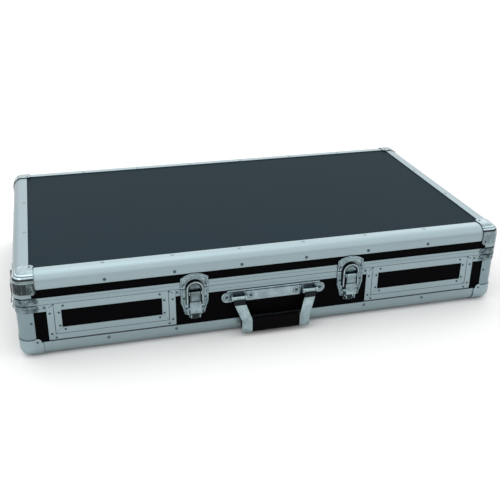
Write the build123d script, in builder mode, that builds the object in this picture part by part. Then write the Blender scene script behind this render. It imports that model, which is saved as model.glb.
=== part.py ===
from build123d import *
import math
import os

os.makedirs("parts", exist_ok=True)

# Portable flight case for a DJ mixer: a shallow base with two lift-out front panels
# and a hinged lid. +X runs along the long front, +Z is up, the front looks to -Y.
# The origin is under the middle of the whole object's box. Sizes are millimetres.

# Driving sizes of the case
case_width = 720.0
case_depth = 405.0
parting_height = 81.5
case_height = 127.5
parting_gap = 0.4
fit_gap = 0.1

# Boards and the extrusions that hold their edges
board_thickness = 7.0
skin = 1.5
lip_skin = 1.2
edge_flange = 22.5
edge_radius = 14.0
slot_stop = 12.0
lip_reach = 18.0
edge_end_gap = 23.0

# Closing profile along the parting line, a tongue below and a groove above
rim_flange = 10.3
tongue_start = 3.9
tongue_width = 2.4
tongue_height = 3.0
tongue_taper = 0.4
groove_gap = 0.5
groove_web = 1.2

# Lift-out front panels
access_end = 39.7
middle_bay = 288.0
access_member = 9.5
access_gap = 0.3
access_sill = 1.0

# Corner fittings
corner_proud = 1.2
corner_leg = 31.0
corner_leg_up = 27.0
ball_proud = 1.5
ball_leg = 28.0
ball_clear = 2.0
ball_solid = 11.5
corner_lobe_end = 3.5
ball_lobe_end = 10.0
lobe_reach = 23.5
lobe_radius = 5.3
lobe_sides = 8
brace_leg = 31.0
brace_height = 9.4
brace_thickness = 1.2
brace_bevel = 2.8
seat_gap = 0.05

# Rear hinges
hinge_width = 60.0
hinge_leaf_height = 24.0
hinge_leaf = 1.5
hinge_knuckle_radius = 3.1
hinge_pin_radius = 1.5
hinge_run_gap = 0.05
hinge_side_gap = 0.4
hinge_middle = 22.0
hinge_notch_gap = 0.3
hinge_wall_gap = 0.15
knuckle_sides = 12

# Draw latches, heights measured from the parting plane
latch_beside = 7.1
side_latch_back = 90.0
latch_sheet = 1.45
latch_half_width = 19.9
keeper_height = 23.3
keeper_shoulder = 16.5
plate_drop = 49.7
plate_waist = 21.0
plate_foot = 40.0
plate_foot_half_width = 14.5
plate_toe = 42.5
plate_toe_half_width = 8.6
plate_tip = 46.0
latch_clear = 0.6
loop_radius = 12.5
loop_band = 2.8
loop_thickness = 2.6
loop_out = 4.5
loop_pin_drop = 23.0
loop_pin_radius = 1.5
loop_pin_short = 0.5
loop_sides = 32
boss_gap = 0.4
boss_out = 5.5
boss_bevel = 1.2
lever_pin_drop = 6.0
lever_pin_out = 5.3
lever_pin_radius = 1.4
lever_half_width = 8.0
lever_barrel_radius = 2.7
lever_barrel_sides = 12
lever_sheet = 1.6
lever_knee_drop = 22.0
lever_tail_drop = 35.5
lever_tail_out = 10.5
ear_thickness = 1.2
ear_gap = 0.2
ear_radius = 2.8
ear_bevel = 1.4
pin_run_gap = 0.06
staple_half_width = 7.2
staple_cheek = 1.6
staple_top = 36.5
staple_out = 8.5
staple_bevel = 2.5
staple_hole = 5.5
staple_hole_out = 4.4

# Carrying handle
handle_plate_length = 156.0
handle_plate_height = 16.4
handle_plate_sheet = 2.0
handle_plate_drop = 3.3
handle_bead = 1.5
handle_bead_sink = 0.3
handle_bead_sides = 8
handle_pivot_spacing = 107.0
handle_pivot_out = 5.8
handle_grip_spacing = 87.0
handle_arm_width = 17.0
handle_arm_foot = 15.4
handle_arm_sheet = 2.0
handle_barrel_radius = 3.1
handle_barrel_sides = 12
handle_pin_radius = 2.0
handle_ear = 2.6
handle_ear_radius = 3.9
handle_ear_bevel = 2.0
handle_knee_drop = 7.0
handle_knee_out = 1.0
handle_set_rise = 4.0
handle_lip_height = 4.0
handle_lip_set = 3.0
handle_bend_step = 0.5
handle_clearance_floor = 5.0
grip_height = 22.0
grip_depth = 14.0
grip_rear_gap = 3.0
grip_shoulder = 3.2
grip_round = 6.4
grip_lug_height = 13.0
grip_lug_gap = 0.5
grip_lug_round = 3.0
grip_lug_short = 1.0

# Foam lining
foam_gap = 0.3
floor_foam_thickness = 12.0
foam_block_width = 40.0
foam_rear_width = 26.0
foam_top_gap = 1.0
lid_foam_thickness = 14.0

# Rivets
rivet_radius = 2.3
rivet_height = 0.9
rivet_taper = 35.0
rivet_sides = 8
long_rivet_pitch = 96.0
side_rivet_pitch = 117.0
rivet_line = 17.5

# Places that follow from the sizes above
half_width = case_width / 2
access_width = half_width - access_end - middle_bay / 2
access_centre = (middle_bay + access_width) / 2
latch_centre = middle_bay / 2 - latch_beside - latch_half_width
hinge_centre = 2 * long_rivet_pitch
wall_inner = skin + fit_gap + board_thickness + fit_gap
lip_inner = wall_inner + lip_skin
grip_out = grip_rear_gap + grip_depth / 2
front_reach = grip_rear_gap + grip_depth
hinge_out = seat_gap + hinge_knuckle_radius + hinge_wall_gap
rear_reach = hinge_out + hinge_knuckle_radius
case_middle = (front_reach - rear_reach) / 2
front_y = case_middle - case_depth / 2
rear_y = case_middle + case_depth / 2
base_bottom = corner_proud
base_top = parting_height - parting_gap / 2
lid_bottom = parting_height + parting_gap / 2
rim_top_web = skin
groove_depth = tongue_height + groove_gap
groove_block = groove_depth + groove_web
board_end = slot_stop + 2 * fit_gap
base_rim_bottom = base_top - rim_flange
lid_rim_top = lid_bottom + rim_flange
latch_side_y = front_y + side_latch_back
ball_leg_down = case_height - lid_rim_top - ball_clear


def finish(name, work):
    """Label one finished piece and write it out."""
    work.part.label = name
    export_step(work.part, f"parts/{name}.step")


def wall_plane(side, along=0.0, height=0.0):
    """A plane on an outer wall face, X along the wall, Y up, Z out of the case."""
    if side == "front":
        return Plane(origin=(along, front_y, height), x_dir=(1, 0, 0), z_dir=(0, -1, 0))
    if side == "rear":
        return Plane(origin=(along, rear_y, height), x_dir=(-1, 0, 0), z_dir=(0, 1, 0))
    if side == "left":
        return Plane(origin=(-half_width, along, height), x_dir=(0, -1, 0), z_dir=(-1, 0, 0))
    return Plane(origin=(half_width, along, height), x_dir=(0, 1, 0), z_dir=(1, 0, 0))


def across_plane(face, along=0.0):
    """A plane square to a wall face at one place along it, X out of the case, Y up."""
    origin = face.origin + face.x_dir * along
    return Plane(origin=origin, x_dir=face.z_dir, z_dir=face.x_dir * -1)


def section_plane(origin, inward, into):
    """A plane across an extrusion: X inward from one face, Y inward from the other."""
    u = Vector(*inward)
    v = Vector(*into)
    return Plane(origin=origin, x_dir=u, z_dir=u.cross(v))


def edge_profile(plane, length):
    """Rounded edge extrusion with a slot for each of its two boards and a hollow core."""
    bend = edge_radius
    start = math.sqrt((bend - skin) ** 2 - (bend - slot_stop + lip_skin) ** 2)
    core = slot_stop - lip_skin
    with BuildPart() as work:
        with BuildSketch(plane):
            with BuildLine():
                Polyline((edge_flange, 0), (bend, 0))
                RadiusArc((bend, 0), (0, bend), bend)
                Polyline(
                    (0, bend),
                    (0, edge_flange),
                    (skin, edge_flange),
                    (skin, slot_stop),
                    (wall_inner, slot_stop),
                    (wall_inner, lip_reach),
                    (lip_inner, lip_reach),
                    (lip_inner, lip_inner),
                    (lip_reach, lip_inner),
                    (lip_reach, wall_inner),
                    (slot_stop, wall_inner),
                    (slot_stop, skin),
                    (edge_flange, skin),
                    (edge_flange, 0),
                )
            make_face()
            with BuildLine():
                Polyline(
                    (core, bend - start),
                    (core, wall_inner - lip_skin),
                    (wall_inner - lip_skin, wall_inner - lip_skin),
                    (wall_inner - lip_skin, core),
                    (bend - start, core),
                )
                RadiusArc((bend - start, core), (core, bend - start), -(bend - skin))
            make_face(mode=Mode.SUBTRACT)
        extrude(amount=length)
    return work


with BuildSketch(Plane.XY) as case_plan:
    with Locations((0, case_middle)):
        RectangleRounded(case_width, case_depth, edge_radius)


def mitre(work_side):
    """Cut both ends of a rim length at 45 degrees and round the case's corners."""
    corners = {
        "front": [((-half_width, front_y), (1, -1)), ((half_width, front_y), (-1, -1))],
        "rear": [((-half_width, rear_y), (1, 1)), ((half_width, rear_y), (-1, 1))],
        "left": [((-half_width, front_y), (-1, 1)), ((-half_width, rear_y), (-1, -1))],
        "right": [((half_width, front_y), (1, 1)), ((half_width, rear_y), (1, -1))],
    }
    for (x, y), (nx, ny) in corners[work_side]:
        split(bisect_by=Plane(origin=(x, y, 0), z_dir=(nx, ny, 0)), keep=Keep.TOP)
    extrude(case_plan.sketch, amount=case_height, mode=Mode.INTERSECT)


def tongue_section():
    """Base rim: a cap over the board's top edge with a tapered tongue on it."""
    first = tongue_start
    last = tongue_start + tongue_width
    Polyline(
        (0, 0),
        (first, 0),
        (first + tongue_taper, -tongue_height),
        (last - tongue_taper, -tongue_height),
        (last, 0),
        (lip_inner, 0),
        (lip_inner, rim_flange),
        (wall_inner, rim_flange),
        (wall_inner, rim_top_web),
        (skin, rim_top_web),
        (skin, rim_flange),
        (0, rim_flange),
        close=True,
    )


def groove_section():
    """Lid rim: a cap over the board's lower edge with a groove for the tongue."""
    first = tongue_start - groove_gap
    last = tongue_start + tongue_width + groove_gap
    Polyline(
        (0, 0),
        (first, 0),
        (first, groove_depth),
        (last, groove_depth),
        (last, 0),
        (lip_inner, 0),
        (lip_inner, rim_flange),
        (wall_inner, rim_flange),
        (wall_inner, groove_block),
        (skin, groove_block),
        (skin, rim_flange),
        (0, rim_flange),
        close=True,
    )


def rim_length(side, level, down, start=None, end=None):
    """One mitred length of closing profile on the base (down) or on the lid (up)."""
    spans = {
        "front": ((-half_width, front_y), (1, 0), (0, 1), case_width),
        "rear": ((-half_width, rear_y), (1, 0), (0, -1), case_width),
        "left": ((-half_width, front_y), (0, 1), (1, 0), case_depth),
        "right": ((half_width, front_y), (0, 1), (-1, 0), case_depth),
    }
    (x, y), (dx, dy), (ix, iy), length = spans[side]
    begin = 0.0 if start is None else start
    finish_at = length if end is None else end
    into = (0, 0, -1) if down else (0, 0, 1)
    plane = section_plane((x + dx * begin, y + dy * begin, level), (ix, iy, 0), into)
    run = plane.z_dir.dot(Vector(dx, dy, 0))
    with BuildPart() as work:
        with BuildSketch(plane):
            with BuildLine():
                if down:
                    tongue_section()
                else:
                    groove_section()
            make_face()
        extrude(amount=(finish_at - begin) * run)
        mitre(side)
    return work


# Boards of the base. Their edges sit in the slots of the extrusions.
board_low = base_bottom + board_end
base_board_top = base_top - rim_top_web - fit_gap
lid_board_low = lid_bottom + groove_block + fit_gap
lid_board_high = case_height - board_end


def wall_board(side, low, high):
    """A plain laminated wall board between two heights."""
    span = (case_width if side in ("front", "rear") else case_depth) - 2 * board_end
    middle = 0.0 if side in ("front", "rear") else case_middle
    with BuildPart() as work:
        with BuildSketch(wall_plane(side, middle).offset(-skin - fit_gap)):
            with Locations((0, (low + high) / 2)):
                Rectangle(span, high - low)
        extrude(amount=-board_thickness)
    return work


def flat_board(top_face_level):
    """A bottom or top board, given the height of its upper face."""
    with BuildPart() as work:
        with BuildSketch(Plane.XY.offset(top_face_level - board_thickness)):
            with Locations((0, case_middle)):
                Rectangle(case_width - 2 * board_end, case_depth - 2 * board_end)
        extrude(amount=board_thickness)
    return work


finish("base_bottom_panel", flat_board(base_bottom + skin + fit_gap + board_thickness))
for side in ("rear", "left", "right"):
    finish(f"base_{side}_wall", wall_board(side, board_low, base_board_top))
finish("lid_top_panel", flat_board(case_height - skin - fit_gap))
for side in ("front", "rear", "left", "right"):
    finish(f"lid_{side}_wall", wall_board(side, lid_board_low, lid_board_high))

# The front wall has a notch for each lift-out panel, open at the top.
access_outer = access_width / 2
access_joint = access_outer - access_member
access_low = base_bottom + edge_flange + access_sill
access_joint_low = access_low + access_member
notch_half = access_joint + groove_block + fit_gap
notch_low = access_joint_low - groove_block - fit_gap

with BuildPart() as base_front_wall:
    with BuildSketch(wall_plane("front").offset(-skin - fit_gap)):
        with Locations((0, (board_low + base_board_top) / 2)):
            Rectangle(case_width - 2 * board_end, base_board_top - board_low)
        with Locations(
            (-access_centre, (notch_low + case_height) / 2),
            (access_centre, (notch_low + case_height) / 2),
        ):
            Rectangle(2 * notch_half, case_height - notch_low, mode=Mode.SUBTRACT)
    extrude(amount=-board_thickness)
finish("base_front_wall", base_front_wall)

# Rounded edge extrusions round the bottom of the base and the top of the lid
long_run = case_width - 2 * edge_end_gap
short_run = case_depth - 2 * edge_end_gap
near_x = half_width - edge_end_gap
near_front = front_y + edge_end_gap
near_rear = rear_y - edge_end_gap
for label, level, up in (("base", base_bottom, 1), ("lid", case_height, -1)):
    rows = (
        ("front", (-near_x * up, front_y, level), (0, 1, 0), long_run),
        ("rear", (near_x * up, rear_y, level), (0, -1, 0), long_run),
        ("left", (-half_width, near_rear if up > 0 else near_front, level), (1, 0, 0), short_run),
        ("right", (half_width, near_front if up > 0 else near_rear, level), (-1, 0, 0), short_run),
    )
    for side, origin, inward, run in rows:
        plane = section_plane(origin, inward, (0, 0, up))
        finish(f"{label}_{side}_edge", edge_profile(plane, run))

# Upright corner posts of the base, the same extrusion, one at each corner
post_low = base_bottom + edge_end_gap
post_high = base_rim_bottom - fit_gap
front_post = edge_profile(
    section_plane((-half_width, front_y, post_low), (1, 0, 0), (0, 1, 0)), post_high - post_low
)
middle_plane = Plane.XZ.offset(-case_middle)
with BuildPart() as base_corner_posts:
    add(front_post.part)
    mirror(about=middle_plane)
    mirror(about=Plane.YZ)
finish("base_corner_posts", base_corner_posts)

# Closing profiles. The base front one is in three lengths, between the notches.
for side in ("rear", "left", "right"):
    finish(f"base_{side}_rim", rim_length(side, base_top, True))
for side in ("front", "rear", "left", "right"):
    finish(f"lid_{side}_rim", rim_length(side, lid_bottom, False))
stub = half_width - access_centre - access_outer - fit_gap
left_stub = rim_length("front", base_top, True, 0, stub)
middle_half = access_centre - access_outer - fit_gap
middle_rim = rim_length(
    "front", base_top, True, half_width - middle_half, half_width + middle_half
)
with BuildPart() as base_front_rim:
    add(left_stub.part)
    mirror(about=Plane.YZ)
    add(middle_rim.part)
finish("base_front_rim", base_front_rim)


def u_band(plane, half, low, band, high):
    """A U-shaped band on a wall face, open at the top, with its outer size given."""
    with BuildSketch(plane) as drawn:
        with Locations((0, (low + high) / 2)):
            Rectangle(2 * half, high - low)
        with Locations((0, (low + band + high + band) / 2)):
            Rectangle(2 * (half - band), high - low, mode=Mode.SUBTRACT)
    return drawn.sketch


groove_first = tongue_start - groove_gap
groove_last = tongue_start + tongue_width + groove_gap


def access_surround(centre):
    """The grooved U frame that lines one notch of the front wall."""
    face = wall_plane("front", centre)
    web = access_joint + groove_block
    web_low = access_joint_low - groove_block
    groove_half = access_joint + groove_depth
    with BuildPart() as work:
        outer = u_band(face, access_outer, access_low, access_member, base_top)
        extrude(outer, amount=-skin)
        block = u_band(face.offset(-skin), web, web_low, groove_block, base_top)
        extrude(block, amount=-(lip_inner - skin))
        back = face.offset(-wall_inner)
        inner = u_band(back, access_outer, access_low, access_member, base_top)
        extrude(inner, amount=-lip_skin)
        groove = u_band(
            face.offset(-groove_first),
            groove_half,
            access_joint_low - groove_depth,
            groove_depth,
            base_top,
        )
        extrude(groove, amount=-(groove_last - groove_first), mode=Mode.SUBTRACT)
    return work


panel_half = access_joint - access_gap
panel_low = access_joint_low + access_gap
frame_inner_half = panel_half - access_member
frame_inner_low = panel_low + access_member


def access_frame(centre):
    """The tongued frame round one lift-out panel, its top a length of closing profile."""
    face = wall_plane("front", centre)
    tongue_last = tongue_start + tongue_width
    top_plane = section_plane((centre - panel_half, front_y, base_top), (0, 1, 0), (0, 0, -1))
    with BuildPart() as work:
        for depth, thickness in ((0.0, skin), (wall_inner, lip_skin)):
            leaf = u_band(face.offset(-depth), panel_half, panel_low, access_member, base_top)
            extrude(leaf, amount=-thickness)
        web = u_band(face.offset(-skin), panel_half, panel_low, skin, base_top)
        extrude(web, amount=-(wall_inner - skin))
        tongue = u_band(
            face.offset(-tongue_start),
            panel_half + tongue_height,
            panel_low - tongue_height,
            tongue_height,
            base_top,
        )
        extrude(tongue, amount=-(tongue_last - tongue_start))
        with BuildSketch(top_plane):
            with BuildLine():
                tongue_section()
            make_face()
        extrude(amount=-2 * panel_half)
    return work


def access_board(centre):
    """The laminated board inside one lift-out panel's frame."""
    half = panel_half - skin - fit_gap
    low = panel_low + skin + fit_gap
    with BuildPart() as work:
        with BuildSketch(wall_plane("front", centre).offset(-skin - fit_gap)):
            with Locations((0, (low + base_board_top) / 2)):
                Rectangle(2 * half, base_board_top - low)
        extrude(amount=-board_thickness)
    return work


for label, centre in (("left", -access_centre), ("right", access_centre)):
    finish(f"{label}_access_surround", access_surround(centre))
    finish(f"{label}_access_frame", access_frame(centre))
    finish(f"{label}_access_board", access_board(centre))


def corner_block(level, up, out, leg, leg_up):
    """A solid corner with three rounded edges and a ball where they meet."""
    with BuildPart() as work:
        with BuildSketch(Plane.XY.offset(level - out * up)):
            with Locations((-half_width - out, front_y - out)):
                Rectangle(leg + out, leg + out, align=(Align.MIN, Align.MIN))
        extrude(amount=(leg_up + out) * up)
        upright = work.edges().filter_by(Axis.Z).sort_by(lambda e: e.center().X + e.center().Y)[0]
        flat = work.faces().sort_by(lambda f: (f.center().Z - level) * up)[0]
        level_edges = flat.edges().sort_by(lambda e: e.center().X + e.center().Y)[0:2]
        fillet([upright] + list(level_edges), radius=edge_radius + out)
    return work


def corner_fitting(level, up, proud, leg, leg_up, lobe_end):
    """Four three-legged corner fittings with a ball and, on each face, a riveted lobe."""
    beyond = 60.0
    shell = corner_block(level, up, proud, leg, leg_up)
    x0 = -half_width + edge_flange
    y0 = front_y + edge_flange
    z0 = level + edge_flange * up
    upright = Plane(
        origin=(-half_width, front_y, level), x_dir=(1, 0, 0), z_dir=(0, 0, up)
    )
    along = Plane(origin=upright.origin, x_dir=(0, 1, 0), z_dir=(1, 0, 0))
    inward = Plane(origin=upright.origin, x_dir=(1, 0, 0), z_dir=(0, 1, 0))
    lobe_up = (leg_up - lobe_end) * up
    faces = (
        (wall_plane("front", -half_width, level), lobe_reach, lobe_up),
        (wall_plane("left", front_y, level), -lobe_reach, lobe_up),
        (Plane(origin=upright.origin, x_dir=(1, 0, 0), z_dir=(0, 0, -up)), lobe_reach, -lobe_reach * up),
    )
    with BuildPart() as work:
        add(shell.part)
        for leg_plane, u, v in ((upright, 1, up), (along, 1, up), (inward, 1, -up)):
            with BuildSketch(leg_plane.offset(ball_solid)):
                with Locations((u * (beyond - seat_gap) / 2, v * (beyond - seat_gap) / 2)):
                    hollow = Rectangle(beyond + seat_gap, beyond + seat_gap)
                corner = hollow.vertices().sort_by_distance((0, 0, 0))[0]
                fillet(corner, radius=edge_radius + seat_gap)
            extrude(amount=beyond, mode=Mode.SUBTRACT)
        with BuildSketch(Plane.XY.offset(z0)):
            with Locations((x0, front_y - beyond)):
                Rectangle(beyond, 2 * beyond, align=(Align.MIN, Align.MIN))
            with Locations((-half_width - beyond, y0)):
                Rectangle(2 * beyond, beyond, align=(Align.MIN, Align.MIN))
        extrude(amount=beyond * up, mode=Mode.SUBTRACT)
        with BuildSketch(Plane.XY.offset(level - beyond * up)):
            with Locations((x0, y0)):
                Rectangle(beyond, beyond, align=(Align.MIN, Align.MIN))
        extrude(amount=2 * beyond * up, mode=Mode.SUBTRACT)
        for face, lobe_x, lobe_y in faces:
            with BuildSketch(face.offset(seat_gap)):
                with Locations((lobe_x, lobe_y)):
                    RegularPolygon(
                        lobe_radius,
                        lobe_sides,
                        major_radius=False,
                        rotation=180 / lobe_sides,
                    )
            extrude(amount=proud - seat_gap)
        mirror(about=middle_plane)
        mirror(about=Plane.YZ)
    return work


finish(
    "base_bottom_corners",
    corner_fitting(base_bottom, 1, corner_proud, corner_leg, corner_leg_up, corner_lobe_end),
)
finish(
    "lid_ball_corners",
    corner_fitting(case_height, -1, ball_proud, ball_leg, ball_leg_down, ball_lobe_end),
)


def corner_braces(low):
    """Four angle braces wrapped round the case's upright corners."""
    with BuildPart() as work:
        with BuildSketch(Plane.XY.offset(low)):
            with Locations((0, case_middle)):
                wide = 2 * brace_thickness
                RectangleRounded(
                    case_width + wide, case_depth + wide, edge_radius + brace_thickness
                )
                close_fit = 2 * seat_gap
                RectangleRounded(
                    case_width + close_fit,
                    case_depth + close_fit,
                    edge_radius + seat_gap,
                    mode=Mode.SUBTRACT,
                )
            with Locations((-half_width - brace_thickness, front_y - brace_thickness)):
                Rectangle(
                    brace_leg, brace_leg, align=(Align.MIN, Align.MIN), mode=Mode.INTERSECT
                )
        extrude(amount=brace_height)
        ends = work.edges().filter_by(Axis.X) + work.edges().filter_by(Axis.Y)
        short = [e for e in ends if abs(e.length - brace_thickness + seat_gap) < 0.01]
        chamfer(short, length=brace_bevel)
        mirror(about=middle_plane)
        mirror(about=Plane.YZ)
    return work


brace_margin = (rim_flange - brace_height) / 2
finish("base_corner_braces", corner_braces(base_rim_bottom + brace_margin))
finish("lid_corner_braces", corner_braces(lid_bottom + brace_margin))

# Rear hinges: a leaf on the base with two knuckles, one on the lid with one, a pin
hinge_plane = wall_plane("rear", 0, parting_height)
leaf_start = hinge_knuckle_radius + hinge_notch_gap
side_knuckle = (hinge_width - hinge_middle) / 2 - hinge_side_gap


def hinge_leaves(up, spans):
    """Both hinges' leaves on one side of the parting, with knuckles on given spans."""
    with BuildPart() as work:
        for centre in (-hinge_centre, hinge_centre):
            with BuildSketch(hinge_plane.offset(seat_gap)):
                with Locations((centre, up * (leaf_start + hinge_leaf_height / 2))):
                    Rectangle(hinge_width, hinge_leaf_height)
                for first, last in spans:
                    with Locations((centre + (first + last) / 2, up * leaf_start)):
                        Rectangle(last - first, 2 * leaf_start)
            extrude(amount=hinge_leaf)
            for first, last in spans:
                knuckle = across_plane(hinge_plane, centre + last)
                with BuildSketch(knuckle):
                    with Locations((hinge_out, 0)):
                        RegularPolygon(hinge_knuckle_radius, knuckle_sides)
                extrude(amount=last - first)
            bore = across_plane(hinge_plane, centre + hinge_width)
            with BuildSketch(bore):
                with Locations((hinge_out, 0)):
                    Circle(hinge_pin_radius + hinge_run_gap)
            extrude(amount=2 * hinge_width, mode=Mode.SUBTRACT)
    return work


outer_spans = (
    (-hinge_width / 2, -hinge_width / 2 + side_knuckle),
    (hinge_width / 2 - side_knuckle, hinge_width / 2),
)
finish("hinge_base_leaves", hinge_leaves(-1, outer_spans))
finish("hinge_lid_leaves", hinge_leaves(1, ((-hinge_middle / 2, hinge_middle / 2),)))
with BuildPart() as hinge_pins:
    for centre in (-hinge_centre, hinge_centre):
        with BuildSketch(across_plane(hinge_plane, centre + hinge_width / 2)):
            with Locations((hinge_out, 0)):
                Circle(hinge_pin_radius)
        extrude(amount=hinge_width)
finish("hinge_pins", hinge_pins)

# Draw latches. Each is drawn on its wall face with the parting line at height zero.
latch_places = {
    "front_left": wall_plane("front", -latch_centre, parting_height),
    "front_right": wall_plane("front", latch_centre, parting_height),
    "left_side": wall_plane("left", latch_side_y, parting_height),
    "right_side": wall_plane("right", latch_side_y, parting_height),
}


def keeper(face):
    """The lid's keeper: an arched plate with a domed boss that the loop hooks over."""
    boss_radius = loop_radius - loop_band - boss_gap
    with BuildPart() as work:
        with BuildSketch(face.offset(seat_gap)):
            with BuildLine():
                Polyline(
                    (-latch_half_width, keeper_shoulder),
                    (-latch_half_width, latch_clear),
                    (latch_half_width, latch_clear),
                    (latch_half_width, keeper_shoulder),
                )
                ThreePointArc(
                    (latch_half_width, keeper_shoulder),
                    (0, keeper_height),
                    (-latch_half_width, keeper_shoulder),
                )
            make_face()
        extrude(amount=latch_sheet)
        with BuildSketch(face.offset(seat_gap + latch_sheet)):
            Circle(boss_radius)
            with Locations((0, latch_clear - boss_radius)):
                Rectangle(4 * boss_radius, 2 * boss_radius, mode=Mode.SUBTRACT)
        extrude(amount=boss_out - latch_sheet - seat_gap)
        crown = work.faces().sort_by(lambda f: (f.center() - face.origin).dot(face.z_dir))[-1]
        chamfer(crown.edges(), length=boss_bevel)
    return work


def latch_plate(face):
    """The base plate: two ears with the lever's rod, and two cheeks for a padlock."""
    ear_inner = lever_half_width + ear_gap
    ear_tip = lever_pin_out + ear_radius
    root = latch_sheet / 2
    staple_middle = -(staple_top + plate_tip) / 2
    with BuildPart() as work:
        with BuildSketch(face.offset(seat_gap)):
            with BuildLine():
                Polyline(
                    (0, -latch_clear),
                    (latch_half_width, -latch_clear),
                    (latch_half_width, -plate_waist),
                    (plate_foot_half_width, -plate_foot),
                    (plate_toe_half_width, -plate_toe),
                    (plate_toe_half_width, -plate_tip),
                )
                ThreePointArc(
                    (plate_toe_half_width, -plate_tip),
                    (0, -plate_drop),
                    (-plate_toe_half_width, -plate_tip),
                )
                Polyline(
                    (-plate_toe_half_width, -plate_tip),
                    (-plate_toe_half_width, -plate_toe),
                    (-plate_foot_half_width, -plate_foot),
                    (-latch_half_width, -plate_waist),
                    (-latch_half_width, -latch_clear),
                    (0, -latch_clear),
                )
            make_face()
        extrude(amount=latch_sheet)
        for first in (ear_inner + ear_thickness, -ear_inner):
            with BuildSketch(across_plane(face, first)):
                with Locations(((root + ear_tip) / 2, -lever_pin_drop)):
                    Rectangle(ear_tip - root, 2 * ear_radius)
                chamfer(vertices().group_by(Axis.X)[-1], length=ear_bevel)
            extrude(amount=ear_thickness)
        with BuildSketch(across_plane(face, ear_inner)):
            with Locations((lever_pin_out, -lever_pin_drop)):
                Circle(lever_pin_radius)
        extrude(amount=2 * ear_inner)
        for first in (staple_half_width, -staple_half_width + staple_cheek):
            with BuildSketch(across_plane(face, first)):
                with Locations(((root + staple_out) / 2, staple_middle)):
                    Rectangle(staple_out - root, plate_tip - staple_top)
                chamfer(vertices().group_by(Axis.X)[-1], length=staple_bevel)
                with Locations((staple_hole_out, staple_middle)):
                    Circle(staple_hole / 2, mode=Mode.SUBTRACT)
            extrude(amount=staple_cheek)
    return work


def latch_lever(face):
    """The lever: two curled barrels behind a flat that turns out to a finger lip."""
    front = lever_pin_out + lever_barrel_radius
    back = front - lever_sheet
    with BuildPart() as work:
        with BuildSketch(across_plane(face, lever_half_width)):
            with BuildLine():
                Polyline(
                    (back, -lever_pin_drop),
                    (front, -lever_pin_drop),
                    (front, -lever_knee_drop),
                    (lever_tail_out, -lever_tail_drop),
                    (lever_tail_out - lever_sheet, -lever_tail_drop),
                    (back, -lever_knee_drop),
                    close=True,
                )
            make_face()
            with Locations((lever_pin_out, -lever_pin_drop), (loop_out, -loop_pin_drop)):
                RegularPolygon(
                    lever_barrel_radius,
                    lever_barrel_sides,
                    major_radius=False,
                    rotation=180 / lever_barrel_sides,
                )
            with Locations((lever_pin_out, -lever_pin_drop)):
                Circle(lever_pin_radius + pin_run_gap, mode=Mode.SUBTRACT)
            with Locations((loop_out, -loop_pin_drop)):
                Circle(loop_pin_radius + pin_run_gap, mode=Mode.SUBTRACT)
        extrude(amount=2 * lever_half_width)
    return work


def latch_loop(face):
    """The bail: an arched flat band whose cross rod runs through the lever."""
    inner = loop_radius - loop_band
    with BuildPart() as work:
        with BuildSketch(face.offset(loop_out - loop_thickness / 2)):
            RegularPolygon(loop_radius, loop_sides)
            with Locations((0, -loop_pin_drop / 2)):
                Rectangle(2 * loop_radius, loop_pin_drop)
            with Locations((0, -loop_pin_drop)):
                Rectangle(2 * loop_radius, 2 * loop_pin_radius)
            RegularPolygon(inner, loop_sides, mode=Mode.SUBTRACT)
            with Locations((0, -loop_pin_drop / 2 - loop_pin_radius)):
                Rectangle(2 * inner, loop_pin_drop + 2 * loop_pin_radius, mode=Mode.SUBTRACT)
        extrude(amount=loop_thickness)
        with BuildSketch(across_plane(face, loop_radius - loop_pin_short)):
            with Locations((loop_out, -loop_pin_drop)):
                Circle(loop_pin_radius)
        extrude(amount=2 * (loop_radius - loop_pin_short))
    return work


for label, face in latch_places.items():
    finish(f"{label}_latch_lever", latch_lever(face))
    finish(f"{label}_latch_loop", latch_loop(face))
with BuildPart() as latch_plates:
    for face in latch_places.values():
        add(latch_plate(face).part)
finish("latch_plates", latch_plates)
with BuildPart() as latch_keepers:
    for face in latch_places.values():
        add(keeper(face).part)
finish("latch_keepers", latch_keepers)

# Carrying handle in the middle of the front wall
handle_top = base_rim_bottom - handle_plate_drop
pivot_height = handle_top - handle_plate_height / 2
handle_face = wall_plane("front", 0, 0)
pivot_half = handle_pivot_spacing / 2
grip_centre = handle_clearance_floor + grip_height / 2
arm_outer = grip_rear_gap + grip_depth

with BuildPart() as handle_plate:
    with BuildSketch(handle_face.offset(-skin)):
        with Locations((0, pivot_height)):
            SlotOverall(handle_plate_length, handle_plate_height)
    extrude(amount=handle_plate_sheet)
    bead_half = handle_plate_length / 2 - handle_plate_height / 2
    with BuildSketch(across_plane(handle_face, bead_half)):
        bead_level = handle_top + handle_bead - handle_bead_sink
        with Locations((handle_plate_sheet - skin, bead_level)):
            RegularPolygon(handle_bead, handle_bead_sides)
    extrude(amount=2 * bead_half)
    ear_start = handle_arm_width / 2 + ear_gap
    ear_tip = handle_pivot_out + handle_ear_radius
    for centre in (-pivot_half, pivot_half):
        for first in (centre + ear_start + handle_ear, centre - ear_start):
            with BuildSketch(across_plane(handle_face, first)):
                with Locations((ear_tip / 2, pivot_height)):
                    Rectangle(ear_tip, 2 * handle_ear_radius)
                chamfer(vertices().group_by(Axis.X)[-1], length=handle_ear_bevel)
            extrude(amount=handle_ear)
        with BuildSketch(across_plane(handle_face, centre + ear_start)):
            with Locations((handle_pivot_out, pivot_height)):
                Circle(handle_pin_radius)
        extrude(amount=2 * ear_start)
finish("handle_plate", handle_plate)


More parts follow.
